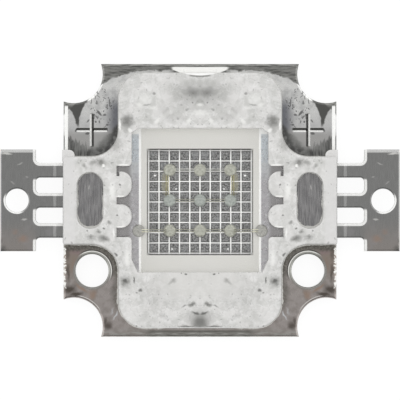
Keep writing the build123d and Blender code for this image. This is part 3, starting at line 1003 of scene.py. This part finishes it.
def cast_fill():
    gap = 0.008 * MM
    level = fill_top * MM
    cast = bmesh.new()
    cast.from_mesh(nodes["encapsulant"].data)
    bmesh.ops.remove_doubles(cast, verts=cast.verts, dist=gap / 100)
    cast.normal_update()
    places = [(corner, corner.co - corner.normal * gap) for corner in cast.verts]
    for corner, place in places:
        if abs(corner.co.z - level) < gap / 100:
            place.z = level
        corner.co = place
    fill = made_object("silicone_fill", cast, silicone_material())
    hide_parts("encapsulant")
    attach(fill, "root")


cast_fill()


# Flash: thin ragged plastic left at the windows and along the lower lands

def ribbon(name, wall, free, level, darkness, closed):
    """A closed body between two rails of points in plan, thick at the wall and thin at the free rail."""
    thin = 0.015
    body = bmesh.new()
    rings = []
    for (wall_x, wall_y), (free_x, free_y) in zip(wall, free):
        ring = [(wall_x, wall_y, level), (free_x, free_y, level)]
        ring += [(free_x, free_y, level + thin), (wall_x, wall_y, level + darkness)]
        rings.append([body.verts.new(Vector(corner) * MM) for corner in ring])
    pairs = list(zip(rings, rings[1:]))
    if closed:
        pairs.append((rings[-1], rings[0]))
    else:
        body.faces.new(rings[0])
        body.faces.new(rings[-1])
    for first, second in pairs:
        for side in range(4):
            after = (side + 1) % 4
            body.faces.new((first[side], first[after], second[after], second[side]))
    bmesh.ops.recalc_face_normals(body, faces=body.faces)
    piece = made_object(name, body, housing_paint.material)
    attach(piece, "root")


def window_outline(step):
    """Points round the right window, with outward directions."""
    straight = window_half_y - window_half_x
    points = []
    for quarter, centre_y in enumerate((straight, straight, -straight, -straight)):
        if quarter % 2 == 0:
            side = 1 - quarter
            count = round(2 * straight / step)
            for index in range(count):
                y = side * (-straight + 2 * straight * index / count)
                points.append((window_x + side * window_half_x, y, side, 0.0))
        count = round(window_half_x * math.pi / 2 / step)
        for index in range(count):
            angle = (quarter + index / count) * math.pi / 2
            across, along = math.cos(angle), math.sin(angle)
            x, y = window_x + window_half_x * across, centre_y + window_half_x * along
            points.append((x, y, across, along))
    return points


def land_outline(step):
    """Points round the right lower land, with directions towards it."""
    points = []

    def straight(start, end, direction):
        count = round(math.dist(start, end) / step)
        for index in range(count):
            share = index / count
            place = [a + (b - a) * share for a, b in zip(start, end)]
            points.append((*place, *direction))

    def curve(centre, radius, first, last, side):
        count = round(radius * math.radians(abs(last - first)) / step)
        for index in range(count):
            angle = math.radians(first + (last - first) * index / count)
            across, along = math.cos(angle), math.sin(angle)
            x, y = centre[0] + radius * across, centre[1] + radius * along
            points.append((x, y, side * across, side * along))

    corner_x, corner_y = body_half_x - body_corner_radius, -body_half_y + body_corner_radius
    straight((arm_end - 0.5, -arm_half_y), (land_x, -arm_half_y), (0, -1))
    curve((land_x, -land_y), land_radius, 90, 180, -1)
    straight((body_half_x, -land_y), (body_half_x, corner_y), (1, 0))
    curve((corner_x, corner_y), body_corner_radius, 0, -90, 1)
    straight((corner_x, -body_half_y), (corner_x - 1.5, -body_half_y), (0, -1))
    return points


def ragged(x, y, scale, seed):
    """Unevenness between 0 and about 1 at a place."""
    return 0.5 + 0.5 * noise.noise(Vector((x * scale, y * scale, seed)))


def window_flash_width(x, y, along):
    """How far the flash reaches into the window from a point of its wall, further at the bottom."""
    bottom = max(-along, 0.0) ** 2
    uneven = max(ragged(x, y, 1.8, 3.1) - 0.3, 0.0) * 0.17 + ragged(x, y, 6.0, 8.2) * 0.05
    return uneven + 0.1 * bottom


def land_flash_width(x, y, from_end):
    """How far the flash laps over the land from a point of the plastic, tapered at its ends."""
    taper_points, straight_end = 10, -7.6
    taper = min(1.0, from_end / taper_points)
    shade_beside_body = 1.0 if x < body_half_x + 0.02 and y > straight_end else 0.55
    coarse = max(ragged(x, y, 1.7, 5.5) - 0.35, 0.0)
    return taper * shade_beside_body * (0.02 + 0.14 * coarse + 0.13 * ragged(x, y, 6.5, 1.7) ** 2)


def make_flash():
    buried = 0.05
    window = window_outline(step=0.05)
    land = land_outline(step=0.04)
    reach = [window_flash_width(x, y, along) for x, y, _, along in window]
    last = len(land) - 1
    lap = [land_flash_width(x, y, min(index, last - index)) for index, (x, y, *_) in enumerate(land)]

    def rail(points, side, distances):
        """Points moved along their directions, on one side."""
        return [
            (side * (x + distance * across), y + distance * along)
            for (x, y, across, along), distance in zip(points, distances)
        ]

    for side, word in ((-1, "left"), (1, "right")):
        wall = rail(window, side, [buried] * len(window))
        free = rail(window, side, [-width for width in reach])
        ribbon("window_flash_" + word, wall, free, lead_top, darkness=0.05, closed=True)
        wall = rail(land, side, [-buried] * len(land))
        ribbon("land_flash_" + word, wall, rail(land, side, lap), plate_top, darkness=0.06, closed=False)


make_flash()


# Stage: a pale floor, white to the camera and in reflections, that still takes the shadow

def grey(level):
    return (level, level, level, 1)


def make_floor():
    half = 0.6
    level = -0.00001
    shape = bmesh.new()
    corners = [(-half, -half, level), (half, -half, level), (half, half, level), (-half, half, level)]
    shape.faces.new([shape.verts.new(corner) for corner in corners])
    material = bpy.data.materials.new("floor_paper")
    material.use_nodes = True
    paper = Nodes(material.node_tree)
    paper.tree.nodes.remove(paper.tree.nodes["Principled BSDF"])

    # Bright to the camera, in reflections and through clear bodies; grey to the light on the object
    rays = paper.node("ShaderNodeLightPath").outputs
    shown = paper.most(rays["Is Camera Ray"], rays["Is Glossy Ray"], rays["Is Transmission Ray"])
    plain = paper.node("ShaderNodeBsdfDiffuse", Color=grey(0.8)).outputs[0]
    shaded = paper.node("ShaderNodeBsdfDiffuse", Color=grey(0.14)).outputs[0]
    glow = paper.node("ShaderNodeEmission", Strength=0.9).outputs[0]
    bright = paper.plug_all(paper.node("ShaderNodeAddShader"), shaded, glow)
    surface = paper.mix_shaders(shown, plain, bright)
    paper.plug(paper.tree.nodes["Material Output"].inputs["Surface"], surface)
    floor = made_object("floor", shape, material)


make_floor()


# Light: an even white room for matt surfaces; polished ones mirror a grey ceiling and bright walls

def make_world():
    room_strength = 0.78
    wall_strength = 1.25
    front_strength = 0.25
    world = bpy.data.worlds.new("room")
    bpy.context.scene.world = world
    world.use_nodes = True
    room = Nodes(world.node_tree)
    room.tree.nodes.clear()
    _, y, z = room.split(room.node("ShaderNodeTexCoord").outputs["Generated"])
    ceiling = room.fade(z, 0.72, 0.9, low=wall_strength, high=CEILING)
    front = room.fade(y, -0.25, -0.6, low=1.0, high=front_strength)

    def background(strength):
        return room.node("ShaderNodeBackground", Color=grey(1), Strength=strength).outputs[0]

    rays = room.node("ShaderNodeLightPath").outputs
    mirrored = background(room.times(ceiling, front))
    lighting = room.mix_shaders(rays["Is Glossy Ray"], background(room_strength), mirrored)
    surface = room.mix_shaders(rays["Is Camera Ray"], lighting, background(1.0))
    room.node("ShaderNodeOutputWorld", Surface=surface)


def make_lamp():
    towards = Vector((0, -0.2, -1))
    data = bpy.data.lights.new("key", "SUN")
    data.energy = 0.85
    data.angle = math.radians(60)
    lamp = bpy.data.objects.new("key", data)
    bpy.context.scene.collection.objects.link(lamp)
    lamp.rotation_euler = towards.to_track_quat("-Z", "Y").to_euler()
    lamp.visible_glossy = False


make_world()
make_lamp()


# Camera: straight above, with the photograph's scale and middle

def make_camera():
    pixels = 400
    pixels_per_mm = 13.65
    middle_row = 200.4
    height = 300.0
    data = bpy.data.cameras.new("camera")
    shown = pixels / pixels_per_mm
    data.lens = data.sensor_width * (height - plate_top) / shown
    camera = bpy.data.objects.new("camera", data)
    bpy.context.scene.collection.objects.link(camera)
    rise = (middle_row - pixels / 2) / pixels_per_mm
    camera.location = Vector((0, rise, height)) * MM
    bpy.context.scene.camera = camera


make_camera()
bpy.context.scene.view_settings.view_transform = "Standard"
